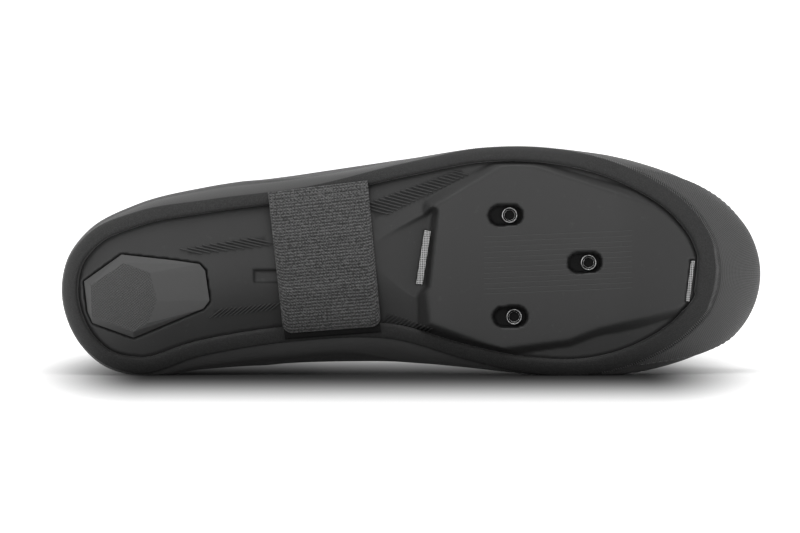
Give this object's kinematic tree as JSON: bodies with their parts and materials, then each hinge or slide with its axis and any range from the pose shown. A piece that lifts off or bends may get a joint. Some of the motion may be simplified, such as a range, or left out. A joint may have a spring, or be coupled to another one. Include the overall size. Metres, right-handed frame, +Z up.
{
  "type": "cycling overshoe",
  "caption": "Right-foot cycling overshoe lying on its inner side, open beneath round a bolt-on cycling sole, with an arch strap and a heel pad.",
  "frame": {"origin": "centre of the bounding box in plan, on the floor that the overshoe lies on", "axes": "+X from heel to toe, -Y out of the sole's face, +Z up from the floor towards the foot's outer side"},
  "size_m": [0.2842, 0.157, 0.0928],
  "materials": {
    "softshell": "matte stretch softshell",
    "toe_fabric": "matte woven with fine dots",
    "band": "fine grained elastic band",
    "strap_weave": "coarse loop weave",
    "hooks": "fine hooks",
    "sole_plastic": "satin moulded",
    "pad_rubber": "matte",
    "vent_mesh": "pale open mesh",
    "nut_metal": "black",
    "footbed": "matte foam with cloth"
  },
  "bodies": {
    "root": {"upper": "softshell", "toe_cap": "toe_fabric", "rim_binding": "band", "arch_strap": "strap_weave", "hook_patch": "hooks", "outsole": "sole_plastic", "heel_pad": "pad_rubber", "mid_vent_mesh": "vent_mesh", "front_vent_mesh": "vent_mesh", "cleat_nut_rear_lateral": "nut_metal", "cleat_nut_rear_medial": "nut_metal", "cleat_nut_front": "nut_metal", "insole": "footbed"}
  },
  "joints": []
}
